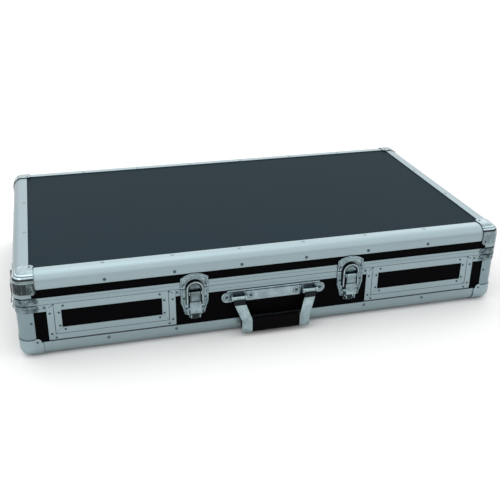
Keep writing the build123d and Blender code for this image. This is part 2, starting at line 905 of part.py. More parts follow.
def arm_outline(sign):
    """Front view of one arm: square at its curled end, leaning in to the grip."""
    top = pivot_half * sign
    foot = handle_grip_spacing / 2 * sign
    wide = handle_arm_width / 2
    narrow = handle_arm_foot / 2
    bend = pivot_height - handle_barrel_radius - handle_lip_set
    set_line = grip_centre + grip_height / 2
    Polyline(
        (top - wide, pivot_height + handle_barrel_radius),
        (top + wide, pivot_height + handle_barrel_radius),
        (top + wide, bend),
        (foot + narrow, set_line),
        (foot + narrow, handle_clearance_floor),
        (foot - narrow, handle_clearance_floor),
        (foot - narrow, set_line),
        (top - wide, bend),
        close=True,
    )


def handle_arm(sign):
    """One flat arm curled round its pivot rod at the top and set over the grip below."""
    front = handle_pivot_out + handle_barrel_radius
    knee = front + handle_knee_out
    knee_level = pivot_height - handle_knee_drop
    set_level = grip_centre + grip_height / 2 + handle_set_rise
    lip_level = handle_clearance_floor + handle_lip_height
    lip_out = arm_outer - handle_lip_set
    wide = pivot_half + handle_arm_width
    with BuildPart() as work:
        with BuildSketch(across_plane(handle_face, wide)):
            with BuildLine():
                Polyline(
                    (front - handle_arm_sheet, pivot_height),
                    (front, pivot_height),
                    (knee, knee_level),
                    (arm_outer, set_level),
                    (arm_outer, lip_level),
                    (lip_out, handle_clearance_floor),
                    (lip_out - handle_arm_sheet, handle_clearance_floor),
                    (arm_outer - handle_arm_sheet, lip_level + handle_bend_step),
                    (arm_outer - handle_arm_sheet, set_level - handle_bend_step),
                    (knee - handle_arm_sheet, knee_level - handle_bend_step),
                    close=True,
                )
            make_face()
            with Locations((handle_pivot_out, pivot_height)):
                RegularPolygon(handle_barrel_radius, handle_barrel_sides)
                Circle(handle_pin_radius + pin_run_gap, mode=Mode.SUBTRACT)
        extrude(amount=2 * wide)
        with BuildSketch(handle_face.offset(-skin)):
            with BuildLine():
                arm_outline(sign)
            make_face()
        extrude(amount=2 * arm_outer, mode=Mode.INTERSECT)
    return work


with BuildPart() as handle_arms:
    add(handle_arm(-1).part)
    add(handle_arm(1).part)
finish("handle_arms", handle_arms)

with BuildPart() as handle_grip:
    inner_half = handle_grip_spacing / 2 - handle_arm_foot / 2 - ear_gap
    lug_half = handle_grip_spacing / 2 + handle_arm_foot / 2 - grip_lug_short
    with BuildSketch(across_plane(handle_face, inner_half)):
        with Locations((grip_out, grip_centre)):
            RectangleRounded(grip_depth, grip_height, grip_round)
    extrude(amount=2 * inner_half)
    lug_depth = grip_depth - grip_shoulder
    with BuildSketch(across_plane(handle_face, lug_half)):
        lug_out = grip_rear_gap + lug_depth / 2 + grip_lug_gap
        with Locations((lug_out, grip_centre + grip_lug_gap)):
            RectangleRounded(lug_depth - 2 * grip_lug_gap, grip_lug_height, grip_lug_round)
    extrude(amount=2 * lug_half)
finish("handle_grip", handle_grip)

# Foam lining: a floor pad, end blocks, a rear block and a pad in the lid
pad_inset = lip_reach + foam_gap
floor_foam_low = base_bottom + wall_inner + foam_gap
floor_foam_top = floor_foam_low + floor_foam_thickness
block_low = floor_foam_top + foam_gap
block_outer = lip_inner + foam_gap
with BuildPart() as base_foam:
    with BuildSketch(Plane.XY.offset(floor_foam_low)):
        with Locations((0, case_middle)):
            Rectangle(case_width - 2 * pad_inset, case_depth - 2 * pad_inset)
    extrude(amount=floor_foam_thickness)
    end_x = half_width - block_outer - foam_block_width / 2
    block_depth = case_depth - 2 * block_outer
    with BuildSketch(Plane.XY.offset(block_low)):
        with Locations((-end_x, case_middle), (end_x, case_middle)):
            Rectangle(foam_block_width, block_depth)
        rear_middle = rear_y - block_outer - foam_rear_width / 2
        with Locations((0, rear_middle)):
            rear_span = case_width - 2 * (block_outer + foam_block_width + foam_gap)
            Rectangle(rear_span, foam_rear_width)
    extrude(amount=base_rim_bottom - foam_top_gap - block_low)
finish("base_foam", base_foam)

lid_foam_top = case_height - wall_inner - foam_gap
with BuildPart() as lid_foam:
    with BuildSketch(Plane.XY.offset(lid_foam_top - lid_foam_thickness)):
        with Locations((0, case_middle)):
            Rectangle(case_width - 2 * pad_inset, case_depth - 2 * pad_inset)
    extrude(amount=lid_foam_thickness)
finish("lid_foam", lid_foam)


def rivet_heads(plane, places, radius=rivet_radius):
    """Rivet heads with bevelled sides standing on a plane."""
    with BuildSketch(plane) as discs:
        with Locations(*places):
            RegularPolygon(radius, rivet_sides)
    extrude(discs.sketch, amount=rivet_height, taper=rivet_taper)


def row(count, pitch):
    """Places evenly spaced about the middle."""
    return [(i - (count - 1) / 2) * pitch for i in range(count)]


long_row = row(6, long_rivet_pitch)
short_row = row(2, side_rivet_pitch)
with BuildPart() as base_rivets:
    for side, places, middle in (
        ("front", long_row, 0),
        ("rear", long_row, 0),
        ("left", short_row, case_middle),
        ("right", short_row, case_middle),
    ):
        line = base_bottom + rivet_line
        rivet_heads(wall_plane(side, middle), [(a, line) for a in places])
finish("base_rivets", base_rivets)

with BuildPart() as lid_rivets:
    for side, places, middle in (
        ("front", long_row, 0),
        ("rear", long_row, 0),
        ("left", short_row, case_middle),
        ("right", short_row, case_middle),
    ):
        line = case_height - rivet_line
        rivet_heads(wall_plane(side, middle), [(a, line) for a in places])
    top_face = Plane.XY.offset(case_height)
    for along in long_row:
        ends = [(along, front_y + rivet_line), (along, rear_y - rivet_line)]
        rivet_heads(top_face, ends)
    for along in short_row:
        side_x = half_width - rivet_line
        rivet_heads(top_face, [(-side_x, case_middle + along), (side_x, case_middle + along)])
finish("lid_rivets", lid_rivets)
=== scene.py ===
import math
import bmesh
import bpy
from mathutils import Matrix, Vector


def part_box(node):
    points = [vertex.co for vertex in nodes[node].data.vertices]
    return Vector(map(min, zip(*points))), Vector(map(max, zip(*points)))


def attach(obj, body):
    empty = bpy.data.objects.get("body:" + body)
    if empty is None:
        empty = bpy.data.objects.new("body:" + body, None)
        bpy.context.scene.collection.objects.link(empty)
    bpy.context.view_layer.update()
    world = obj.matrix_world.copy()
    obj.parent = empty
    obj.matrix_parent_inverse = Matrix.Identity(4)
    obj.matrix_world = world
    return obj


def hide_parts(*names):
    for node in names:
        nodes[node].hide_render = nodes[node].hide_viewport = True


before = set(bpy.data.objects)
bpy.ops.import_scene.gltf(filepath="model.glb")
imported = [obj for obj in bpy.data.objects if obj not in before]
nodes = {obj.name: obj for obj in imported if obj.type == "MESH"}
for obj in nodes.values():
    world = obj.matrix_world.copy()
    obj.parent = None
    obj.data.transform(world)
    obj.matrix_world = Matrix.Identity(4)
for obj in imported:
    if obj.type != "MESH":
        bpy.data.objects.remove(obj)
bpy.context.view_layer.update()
scene = bpy.context.scene
print("frame loaded,", len(nodes), "nodes")


# Camera: the photograph's own viewpoint, worked out in the case's frame
cameraLook = {
    "place": (-0.2925, -1.1360, 0.5983),
    "turnDegrees": 15.25,      # towards +X
    "downDegrees": 25.64,
    "rollDegrees": 0.733,
    "lens": 55.41,             # millimetres, as the sensor
    "sensor": 36,
}


def addCamera(look):
    turn = math.radians(look["turnDegrees"])
    down = math.radians(look["downDegrees"])
    roll = math.radians(look["rollDegrees"])
    ahead = Vector((math.sin(turn) * math.cos(down), math.cos(turn) * math.cos(down), -math.sin(down)))
    right = Vector((math.cos(turn), -math.sin(turn), 0))
    up = right.cross(ahead)
    rolledRight = right * math.cos(roll) + up * math.sin(roll)
    rolledUp = up * math.cos(roll) - right * math.sin(roll)
    data = bpy.data.cameras.new("camera")
    data.sensor_width = look["sensor"]
    data.lens = look["lens"]
    camera = bpy.data.objects.new("camera", data)
    scene.collection.objects.link(camera)
    turnTable = Matrix((rolledRight, rolledUp, -ahead)).transposed().to_4x4()
    camera.matrix_world = Matrix.Translation(look["place"]) @ turnTable
    scene.camera = camera


addCamera(cameraLook)


# Shader maths: a socket that can be added, multiplied and so on
class Wire:
    def __init__(self, maker, socket):
        self.maker = maker
        self.socket = socket

    def work(self, kind, first, second=None):
        values = [first] if second is None else [first, second]
        return self.maker.node("ShaderNodeMath", {"operation": kind}, dict(enumerate(values)))

    def __add__(self, other):
        return self.work("ADD", self, other)

    def __radd__(self, other):
        return self.work("ADD", other, self)

    def __sub__(self, other):
        return self.work("SUBTRACT", self, other)

    def __rsub__(self, other):
        return self.work("SUBTRACT", other, self)

    def __mul__(self, other):
        return self.work("MULTIPLY", self, other)

    def __rmul__(self, other):
        return self.work("MULTIPLY", other, self)

    def __truediv__(self, other):
        return self.work("DIVIDE", self, other)

    def __pow__(self, other):
        return self.work("POWER", self, other)

    def clamped(self):
        return self.maker.node("ShaderNodeClamp", {}, {"Value": self})

    def contrast(self, gain):
        # spread about a half, cut off at 0 and 1
        return ((self - 0.5) * gain + 0.5).clamped()

    def above(self, level):
        return self.work("GREATER_THAN", self, level)

    def under(self, level):
        return self.work("LESS_THAN", self, level)

    def size(self):
        return self.work("ABSOLUTE", self)

    def least(self, other):
        return self.work("MINIMUM", self, other)


# Makes the nodes of one material or of the surround, settings first, then sockets
class Bench:
    def __init__(self, tree):
        self.tree = tree

    def node(self, kind, settings, inputs, output=0):
        made = self.tree.nodes.new(kind)
        for key, value in settings.items():
            if key == "stops":
                self.setStops(made.color_ramp.elements, value)
            else:
                setattr(made, key, value)
        for key, value in inputs.items():
            self.put(made.inputs[key], value)
        return Wire(self, made.outputs[output])

    def setStops(self, elements, stops):
        while len(elements) < len(stops):
            elements.new(0.5)
        for element, (spot, level) in zip(elements, stops):
            element.position = spot
            element.color = (level, level, level, 1)

    def put(self, socket, value):
        if isinstance(value, Wire):
            self.tree.links.new(value.socket, socket)
        else:
            socket.default_value = value

    def part(self, vector, letter):
        return self.node("ShaderNodeSeparateXYZ", {}, {0: vector}, letter)


# One material; join() links or sets a socket of its surface shader
class Paint(Bench):
    def __init__(self, name, metallic=0.0, roughness=0.5, specular=0.5):
        self.material = bpy.data.materials.new(name)
        self.material.use_nodes = True
        super().__init__(self.material.node_tree)
        self.shader = self.tree.nodes["Principled BSDF"]
        self.join("Metallic", metallic)
        self.join("Roughness", roughness)
        self.join("Specular IOR Level", specular)

    def join(self, name, value):
        self.put(self.shader.inputs[name], value)

    def place(self):
        return self.node("ShaderNodeTexCoord", {}, {}, "Object")

    def axis(self, letter):
        return self.part(self.place(), letter)

    def stretched(self, scale):
        # the place times one scale, or one for each axis
        scale = scale if isinstance(scale, tuple) else (scale,) * 3
        return self.node("ShaderNodeVectorMath", {"operation": "MULTIPLY"}, {0: self.place(), 1: scale})

    def noise(self, scale, detail, rough=0.55):
        inputs = {"Vector": self.stretched(scale), "Scale": 1.0, "Detail": detail, "Roughness": rough}
        return self.node("ShaderNodeTexNoise", {}, inputs)

    def spots(self, scale, detail, level, gain, rough=0.55):
        # only the peaks of a noise, above a level
        return ((self.noise(scale, detail, rough) - level) * gain).clamped()

    def cells(self, scale):
        inputs = {"Vector": self.stretched(scale), "Scale": 1.0}
        return self.node("ShaderNodeTexVoronoi", {"feature": "F1"}, inputs, "Distance")

    def openness(self, distance):
        # ambient occlusion: 1 on open surfaces, towards 0 in crevices nearer than the distance; the finishes
        # paint shade with it
        settings = {"samples": 8, "only_local": False}
        return self.node("ShaderNodeAmbientOcclusion", settings, {"Distance": distance}, "AO")

    def between(self, mask, first, second):
        return self.node("ShaderNodeMix", {"data_type": "RGBA"}, {0: mask, 6: first, 7: second}, 2)

    def shades(self, mask, colour, first, second):
        return self.between(mask, shade(colour, first), shade(colour, second))

    def bump(self, height, strength, depth):
        return self.node("ShaderNodeBump", {}, {"Height": height, "Strength": strength, "Distance": depth})


def shade(colour, factor):
    return tuple(min(1.0, c * factor) for c in colour[:3]) + (1.0,)


# Studio: pale floor, a surround that is brightest one to two thirds of the way up, soft lights
studioLook = {
    "floorColour": (0.70, 0.70, 0.70, 1),
    "floorRoughness": 0.9,
    "floorHalf": 9.0,
    "floorDrop": 0.0002,       # keeps the floor just clear of the case
    "surroundStrength": 2.1,
    "surroundEven": 0.8,
    "surroundTowardsRear": 0.12,
    # sine of the height above the horizon, brightness
    "surround": ((0.0, 0.60), (0.16, 0.55), (0.36, 0.95), (0.60, 0.95), (0.85, 0.9), (1.0, 0.86)),
    "lights": (
        # name, place, aim, size, watts
        ("overhead", (-0.4, 0.5, 2.6), (0, 0, 0.05), 2.6, 12),
        ("frontLeft", (-2.1, -2.0, 1.9), (0, -0.1, 0.05), 1.8, 10),
        ("rearRight", (2.1, 1.9, 1.7), (0, 0, 0.05), 1.6, 3),
    ),
}


def addFloor(look):
    mesh = bpy.data.meshes.new("floor")
    half = look["floorHalf"]
    corners = [(-half, -half, 0), (half, -half, 0), (half, half, 0), (-half, half, 0)]
    mesh.from_pydata(corners, [], [(0, 1, 2, 3)])
    floor = bpy.data.objects.new("floor", mesh)
    scene.collection.objects.link(floor)
    floor.location.z = -look["floorDrop"]
    paper = Paint("floorPaper", roughness=look["floorRoughness"], specular=0.0)
    paper.join("Base Color", look["floorColour"])
    mesh.materials.append(paper.material)


def addSurround(look):
    world = bpy.data.worlds.new("surround")
    world.use_nodes = True
    scene.world = world
    bench = Bench(world.node_tree)
    direction = bench.node("ShaderNodeTexCoord", {}, {}, "Generated")
    glow = bench.node("ShaderNodeValToRGB", {"stops": look["surround"]}, {0: bench.part(direction, "Z")})
    even = bench.part(direction, "Y") * look["surroundTowardsRear"] + look["surroundEven"]
    background = world.node_tree.nodes["Background"]
    bench.put(background.inputs["Color"], glow)
    bench.put(background.inputs["Strength"], even * look["surroundStrength"])


def addLights(look):
    for name, place, aim, size, watts in look["lights"]:
        data = bpy.data.lights.new(name, "AREA")
        data.size = size
        data.energy = watts
        lamp = bpy.data.objects.new(name, data)
        scene.collection.objects.link(lamp)
        lamp.location = place
        away = Vector(place) - Vector(aim)
        lamp.rotation_euler = away.to_track_quat("Z", "Y").to_euler()


addFloor(studioLook)
addSurround(studioLook)
addLights(studioLook)
scene.view_settings.view_transform = "Standard"
print("camera and studio ready")


def reach(name, letter):
    # a node's lowest and highest place along an axis, to a hundredth of a millimetre
    return [round(corner["XYZ".index(letter)], 5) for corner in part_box(name)]


def middle(name, letter):
    return sum(reach(name, letter)) / 2


# Places on the case's faces, in metres, taken from the frame
halfWidth = reach("base_right_edge", "X")[1]
frontLine = reach("base_front_edge", "Y")[0]
rearLine = reach("base_rear_edge", "Y")[1]
middleLine = (frontLine + rearLine) / 2
edgeLow = reach("base_front_edge", "Z")[0]
lidTop = reach("lid_front_edge", "Z")[1]
parting = middle("hinge_pins", "Z")
latchFront = middle("front_right_latch_lever", "X")
latchSide = middle("left_side_latch_lever", "Y")
frameMiddle = middle("right_access_surround", "X")
frameHalf = reach("right_access_surround", "X")[1] - frameMiddle
frameLow = reach("right_access_surround", "Z")[0]
rimLow = reach("base_front_rim", "Z")[0]


# Finishes. Lengths inside the shaders are metres, scales are features to the metre.
# A noise has a scale, a detail and how rough it is; spots have a level and a gain before the last.
# A name with Rough says how much is added to the roughness. A bump has a strength and a depth.
anodisedLook = {
    "colour": (0.30, 0.385, 0.41, 1),
    # the side edges and the posts take darker copies of the front's colour: painted shade
    "shadedSideColour": (0.248, 0.322, 0.345, 1),
    "shadedPostColour": (0.22, 0.295, 0.32, 1),
    "roughness": 0.28,
    # scale across and along the drawn direction, detail, how rough
    "hairs": (2600, 9, 3.0, 0.6),
    "streaks": (430, 3.5, 3.0, 0.65),
    "streakContrast": 2.2,
    "hairShare": 0.45,
    "streakShare": 0.55,
    "brushShades": (0.82, 1.16),
    "brushRough": 0.12,
    "brushHeight": 0.4,
    "cloud": (11, 3.0),
    "cloudFrom": 0.4,
    "cloudGain": 1.4,
    "cloudShade": 0.93,
    "cloudRough": 0.06,
    "marks": ((170, 68, 221), 5.0, 0.63, 9),
    "markShare": 0.25,
    "markShade": 0.7,
    "markRough": 0.08,
    # painted shade in crevices, from ambient occlusion: how far it reaches, its power, its shade
    "crevice": 0.0022,
    "crevicePower": 1.3,
    "creviceShade": 0.05,
    "lineShare": 0.75,
    "lineShade": 0.08,
    "lineRough": 0.3,
    "bump": (0.18, 0.0001),
}


def drawn(paint, letter, across, along, detail, rough):
    # a noise that is stretched along one axis
    return paint.noise(tuple(along if axis == letter else across for axis in "XYZ"), detail, rough)


def brushed(paint, letter):
    # fine hairs and broader streaks, both running along one axis
    look = anodisedLook
    hairs = drawn(paint, letter, *look["hairs"])
    streaks = drawn(paint, letter, *look["streaks"]).contrast(look["streakContrast"])
    return hairs * look["hairShare"] + streaks * look["streakShare"]


def finishAluminium(paint, brush, tone, line=None):
    look = anodisedLook
    cloud = paint.noise(*look["cloud"])
    marks = paint.spots(*look["marks"])
    clouded = (cloud - look["cloudFrom"]) * look["cloudGain"]
    base = paint.shades(brush, tone, *look["brushShades"])
    base = paint.between(clouded, shade(tone, look["cloudShade"]), base)
    base = paint.between(marks * look["markShare"], base, shade(tone, look["markShade"]))
    # painted shade in crevices
    unoccluded = paint.openness(look["crevice"]) ** look["crevicePower"]
    base = paint.between(unoccluded, shade(tone, look["creviceShade"]), base)
    rough = look["roughness"] + brush * look["brushRough"]
    rough = rough + cloud * look["cloudRough"] + marks * look["markRough"]
    height = brush * look["brushHeight"]
    # dark lines of painted shade in grooves and gaps
    if line is not None:
        base = paint.between(line * look["lineShare"], base, shade(tone, look["lineShade"]))
        rough = rough + line * look["lineRough"]
        height = height - line
    paint.join("Base Color", base)
    paint.join("Roughness", rough.clamped())
    paint.join("Normal", paint.bump(height, *look["bump"]))


def anodised(name, letter, tone):
    paint = Paint(name, metallic=1.0)
    finishAluminium(paint, brushed(paint, letter), tone)
    return paint


# The closing profiles have fine drawn lines along them, at these levels: grooves in the bump, darkened with
# painted shade
rimLook = {"colour": (0.275, 0.36, 0.385, 1), "levels": (0.0879, 0.0751), "lineHalf": 0.00016}


def anodisedRim(name, letter):
    paint = Paint(name, metallic=1.0)
    height = paint.axis("Z")
    upper, lower = ((height - level).size().under(rimLook["lineHalf"]) for level in rimLook["levels"])
    finishAluminium(paint, brushed(paint, letter), rimLook["colour"], (upper + lower).clamped())
    return paint


# The frames round the lift-out panels: each side brushed along itself, with mitre lines and other dark lines
# of painted shade in the gaps
frameLook = {
    "mitreHalf": 0.00022,
    "mitreReach": 0.0193,      # how far up from the foot the mitres run
    "foot": 0.0013,
    "joint": 0.00965,          # from the outer side to the panel's own frame
    "jointHalf": 0.00045,
    "jointShares": (0.5, 0.5),  # everywhere, and more where the frame stands upright
}


def anodisedFrame(name):
    look = frameLook
    paint = Paint(name, metallic=1.0)
    height = paint.axis("Z")
    fromSide = frameHalf - (paint.axis("X").size() - frameMiddle).size()
    fromLow = height - frameLow
    upright = fromLow.above(fromSide) * height.under(rimLow)
    brush = brushed(paint, "Z") * upright + brushed(paint, "X") * (1 - upright)
    mitre = (fromLow - fromSide).size().under(look["mitreHalf"]) * fromLow.under(look["mitreReach"])
    # painted shade: dark lines where the panel's frame slides in its channel and where the foot meets the
    # edge below
    joint = (fromSide.least(fromLow) - look["joint"]).size().under(look["jointHalf"])
    everywhere, more = look["jointShares"]
    lines = mitre + joint * (upright * more + everywhere) + fromLow.under(look["foot"])
    finishAluminium(paint, brush, anodisedLook["colour"], lines.clamped())
    return paint


laminateLook = {
    # colour, roughness
    "side": ((0.0010, 0.0010, 0.0014, 1), 0.40),
    # the top is the same black laminate; its lighter slate colour is a painted sheen
    "top": ((0.0115, 0.0215, 0.0275, 1), 0.50),
    "specular": 0.02,
    "grain": (1900, 2.0, 0.7),
    "grainRough": 0.06,
    "cloud": ((7, 9, 7), 4.0),
    "cloudShades": (0.88, 1.12),
    "cloudRough": 0.07,
    "dust": (420, 6.0, 0.70, 12, 0.7),
    "dustShare": 0.12,
    "dustRough": 0.1,
    "rubs": ((14, 520, 520), 3.0, 0.66, 8),
    "rubShare": 0.05,
    "paleShade": 4.0,
    "bump": (0.12, 0.0002),
}


def laminate(name, tone, roughness):
    look = laminateLook
    paint = Paint(name, specular=look["specular"])
    grain = paint.noise(*look["grain"])
    cloud = paint.noise(*look["cloud"])
    dust = paint.spots(*look["dust"])
    rubs = paint.spots(*look["rubs"])
    pale = dust * look["dustShare"] + rubs * look["rubShare"]
    base = paint.shades(cloud, tone, *look["cloudShades"])
    rough = roughness + cloud * look["cloudRough"] + grain * look["grainRough"] + dust * look["dustRough"]
    paint.join("Base Color", paint.between(pale, base, shade(tone, look["paleShade"])))
    paint.join("Roughness", rough.clamped())
    paint.join("Normal", paint.bump(grain, *look["bump"]))
    return paint


# Bright plated steel, the scale of its mottling, how far that swings, its share of specks.
# The chrome colours are kept dark, and their mottling, in part smudges, is painted dark reflection.
# A zone is a darker band of painted shade and dark reflection between two heights: low, high, soft edge,
# depth.
platedLooks = {
    "brightPlate": {"colour": (0.265, 0.345, 0.37, 1), "roughness": 0.08, "mottle": 90, "swing": 0.3,
                    "specks": 0.4, "crevice": 0.0025},
    # the braces darkest, with the widest mottling: painted dark reflection
    "braceSteel": {"colour": (0.125, 0.168, 0.182, 1), "roughness": 0.07, "mottle": 150, "swing": 0.85,
                   "specks": 0.9, "crevice": 0.0030},
    # a band of painted dark reflection with streaks, and two bands of painted highlight above it
    "ballChrome": {"colour": (0.235, 0.30, 0.32, 1), "roughness": 0.03, "mottle": 75, "swing": 0.25,
                   "specks": 0.1, "crevice": 0.0016, "zone": (0.0990, 0.1165, 0.0012, 0.91),
                   "glints": ((0.1225, 0.1239), (0.1252, 0.1266))},
    "cornerAlloy": {"colour": (0.30, 0.385, 0.41, 1), "roughness": 0.26, "mottle": 40, "swing": 0.12,
                    "specks": 0.2, "crevice": 0.0016},
    # painted shade on the plate's pressed tongue
    "latchPlate": {"colour": (0.235, 0.315, 0.34, 1), "roughness": 0.08, "mottle": 140, "swing": 0.45,
                   "specks": 0.5, "crevice": 0.0034, "zone": (0.0300, 0.0462, 0.0012, 0.93)},
    "keeperSteel": {"colour": (0.25, 0.33, 0.355, 1), "roughness": 0.08, "mottle": 170, "swing": 0.45,
                    "specks": 0.5, "crevice": 0.0030},
    # painted shade over the lever's upper part
    "latchLever": {"colour": (0.225, 0.30, 0.32, 1), "roughness": 0.07, "mottle": 120, "swing": 0.35,
                   "specks": 0.3, "crevice": 0.0030, "zone": (0.0636, 0.0800, 0.0006, 0.42)},
    "latchLoop": {"colour": (0.29, 0.37, 0.39, 1), "roughness": 0.06, "mottle": 120, "swing": 0.3,
                  "specks": 0.0, "crevice": 0.0030},
    # a thin line of painted shade under the plate's rolled top edge
    "handlePlate": {"colour": (0.265, 0.345, 0.37, 1), "roughness": 0.12, "mottle": 110, "swing": 0.22,
                    "specks": 0.5, "crevice": 0.0022, "zone": (0.0661, 0.0673, 0.0002, 0.85)},
    # a band of painted dark reflection under the arms' curls
    "handleArm": {"colour": (0.28, 0.365, 0.385, 1), "roughness": 0.12, "mottle": 110, "swing": 0.26,
                  "specks": 0.9, "crevice": 0.0022, "zone": (0.0494, 0.0590, 0.0008, 1.0)},
}
platedForm = {
    "mottle": (5.0, 0.6),       # detail, how rough
    "mottleContrast": 2.6,
    "mottleRough": 0.1,
    "scratches": (((2200, 60, 90), 2.0, 0.68, 10), ((70, 1800, 2200), 2.0, 0.70, 10)),
    "scratchRough": 0.1,
    "scratchHeight": 0.3,
    "specks": (620, 3.0, 0.62, 9),
    "speckShade": 0.3,
    "glintSoft": 0.0003,
    "glintShare": 0.8,
    "glintShade": 2.1,
    "zoneShade": 0.05,
    "markShade": 0.04,
    # painted shade in crevices, from ambient occlusion: its shade, its power
    "creviceShade": 0.03,
    "crevicePower": 1.7,
    "bump": (0.1, 0.0003),
}
# Painted shade and dark reflection on the latches and the ball corners. Their bands are low, high, soft
# edge.
markForm = {
    "tongueHalf": 0.0052,       # the latch plate's pressed tongue
    "leverSideFrom": 0.0066,    # from the lever's middle
    "leverSide": (0.0625, 0.0790, 0.0004),
    "leverFoot": (0.0621, 0.0640, 0.0002),
    "leverFootHalf": 0.0075,
    "leverDepth": 0.8,
    "rightLeverLight": 0.85,        # share of the painted shade left off the right levers, to paint them lighter
    "loopMiddle": 0.0111,       # radius of the bail's middle line
    "loopFlat": 0.00082,
    "loopDepth": 0.85,
    # a dark band and a dark line round the ball corners: painted dark reflection
    "ballBand": (0.1192, 0.1222, 0.0005),
    "ballLine": (0.1242, 0.1249, 0.0002),
    "ballDepths": (0.95, 0.6),  # of the band, of the line
    "ballStreak": ((210, 210, 46), 4.0, 0.28, 4.5, 0.7),
    "ballRightDarkShare": 0.37,       # how much of the painted dark reflection the right corners keep
    # dark arcs of painted shade round the bail's middle on the keeper: inner and outer radius, depth
    "keeperArcs": (
        (0.0, 0.0074, 0.45),
        (0.0074, 0.0081, 0.85),
        (0.0134, 0.0142, 0.85),
        (0.0168, 0.0174, 0.7),
    ),
}


def band(height, low, high, soft):
    return ((height - low) / soft).clamped() * ((high - height) / soft).clamped()


def fromLatch(paint):
    # how far along the wall from the middle of the nearest latch
    acrossFront = (paint.axis("X").size() - latchFront).size()
    acrossSide = (paint.axis("Y") - latchSide).size()
    return acrossFront.least(acrossSide)


def fromBailMiddle(paint):
    # radius round the middle of the bail's arch, and level with it below the parting line
    across = fromLatch(paint)
    rise = (paint.axis("Z") - parting).clamped()
    return (across * across + rise * rise) ** 0.5


# Dark lines and shadows painted as shade and dark reflection onto some pieces, from 0 to 1
# painted shade in the grooves beside the lever and at its foot
def leverMarks(paint):
    form = markForm
    height = paint.axis("Z")
    across = fromLatch(paint)
    sides = across.above(form["leverSideFrom"]) * band(height, *form["leverSide"])
    foot = band(height, *form["leverFoot"]) * across.under(form["leverFootHalf"])
    return (sides + foot).clamped() * form["leverDepth"]


# painted shade on both sides of the bail's middle line, so the flat band looks round
def loopMarks(paint):
    off = (fromBailMiddle(paint) - markForm["loopMiddle"]).size()
    return off.above(markForm["loopFlat"]) * markForm["loopDepth"]


# painted shade in arcs round the bail, and over the keeper's middle inside it
def keeperMarks(paint):
    away = fromBailMiddle(paint)
    arcs = 0
    for inner, outer, depth in markForm["keeperArcs"]:
        arcs = away.above(inner) * away.under(outer) * depth + arcs
    return arcs.clamped()


# painted dark reflection round the ball corners
def ballMarks(paint):
    height = paint.axis("Z")
    bandDepth, lineDepth = markForm["ballDepths"]
    line = band(height, *markForm["ballLine"]) * lineDepth
    return (band(height, *markForm["ballBand"]) * bandDepth + line).clamped()


marksOf = {
    "latchLever": leverMarks,
    "latchLoop": loopMarks,
    "keeperSteel": keeperMarks,
    "ballChrome": ballMarks,
}


def zoneOf(paint, name, low, high, soft, depth):
    # only on the latch plates' tongue, mostly left off the right levers to paint them lighter, streaky and
    # lighter on the right ball corners
    form = markForm
    zone = band(paint.axis("Z"), low, high, soft)
    if name == "latchPlate":
        zone = zone * fromLatch(paint).under(form["tongueHalf"])
    if name == "latchLever":
        zone = zone * (1 - paint.axis("X").above(0) * form["rightLeverLight"])
    if name == "ballChrome":
        streak = paint.spots(*form["ballStreak"])
        rightDarkShare = form["ballRightDarkShare"]
        zone = zone * streak * (paint.axis("X").under(0) * (1 - rightDarkShare) + rightDarkShare)
    return zone * depth


def plated(name):
    look = platedLooks[name]
    form = platedForm
    tone = look["colour"]
    swing = look["swing"]
    paint = Paint(name, metallic=1.0)
    mottle = paint.noise(look["mottle"], *form["mottle"])
    first, second = (paint.spots(*scratch) for scratch in form["scratches"])
    scratches = (first + second).clamped()
    specks = paint.spots(*form["specks"]) * look["specks"]
    base = paint.shades(mottle.contrast(form["mottleContrast"]), tone, 1 - swing, 1 + swing)
    base = paint.between(specks, base, shade(tone, form["speckShade"]))
    # painted highlights: bright glint bands
    for low, high in look.get("glints", ()):
        paintedHighlight = band(paint.axis("Z"), low, high, form["glintSoft"]) * form["glintShare"]
        base = paint.between(paintedHighlight, base, shade(tone, form["glintShade"]))
    if "zone" in look:
        base = paint.between(zoneOf(paint, name, *look["zone"]), base, shade(tone, form["zoneShade"]))
    if name in marksOf:
        base = paint.between(marksOf[name](paint), base, shade(tone, form["markShade"]))
    # painted shade in crevices
    unoccluded = paint.openness(look["crevice"]) ** form["crevicePower"]
    rough = look["roughness"] + mottle * form["mottleRough"] + scratches * form["scratchRough"]
    paint.join("Base Color", paint.between(unoccluded, shade(tone, form["creviceShade"]), base))
    paint.join("Roughness", rough.clamped())
    paint.join("Normal", paint.bump(mottle - scratches * form["scratchHeight"], *form["bump"]))
    return paint


# one rivet head in three tones, lit and shaded copies: light on the lid's top, middle on the base's edges,
# dark on the rest
rivetLook = {
    "dark": (0.06, 0.088, 0.105, 1),
    "middle": (0.115, 0.15, 0.172, 1),
    "light": (0.25, 0.31, 0.33, 1),
    "roughness": 0.3,
    "fleck": (900, 4.0),
    "fleckShades": (0.8, 1.2),
    "fleckRough": 0.2,
    "bump": (0.15, 0.0001),
}
# near-black fill in the rivets' pits, under the frames, in the notches and mitre cuts and in the handle's
# openings: painted shade
pitLook = {
    "colour": (0.02, 0.023, 0.025, 1),
    "specular": 0.2,
    "roughness": 0.7,
    "grain": (700, 3.0),
    "grainShades": (0.6, 1.3),
    "grainRough": 0.2,
}


def rivetSteel(name, tone):
    look = rivetLook
    paint = Paint(name, metallic=1.0)
    fleck = paint.noise(*look["fleck"])
    paint.join("Base Color", paint.shades(fleck, tone, *look["fleckShades"]))
    paint.join("Roughness", (look["roughness"] + fleck * look["fleckRough"]).clamped())
    paint.join("Normal", paint.bump(fleck, *look["bump"]))
    return paint


def darkPit(name):
    look = pitLook
    paint = Paint(name, specular=look["specular"])
    grain = paint.noise(*look["grain"])
    paint.join("Base Color", paint.shades(grain, look["colour"], *look["grainShades"]))
    paint.join("Roughness", (look["roughness"] + grain * look["grainRough"]).clamped())
    return paint


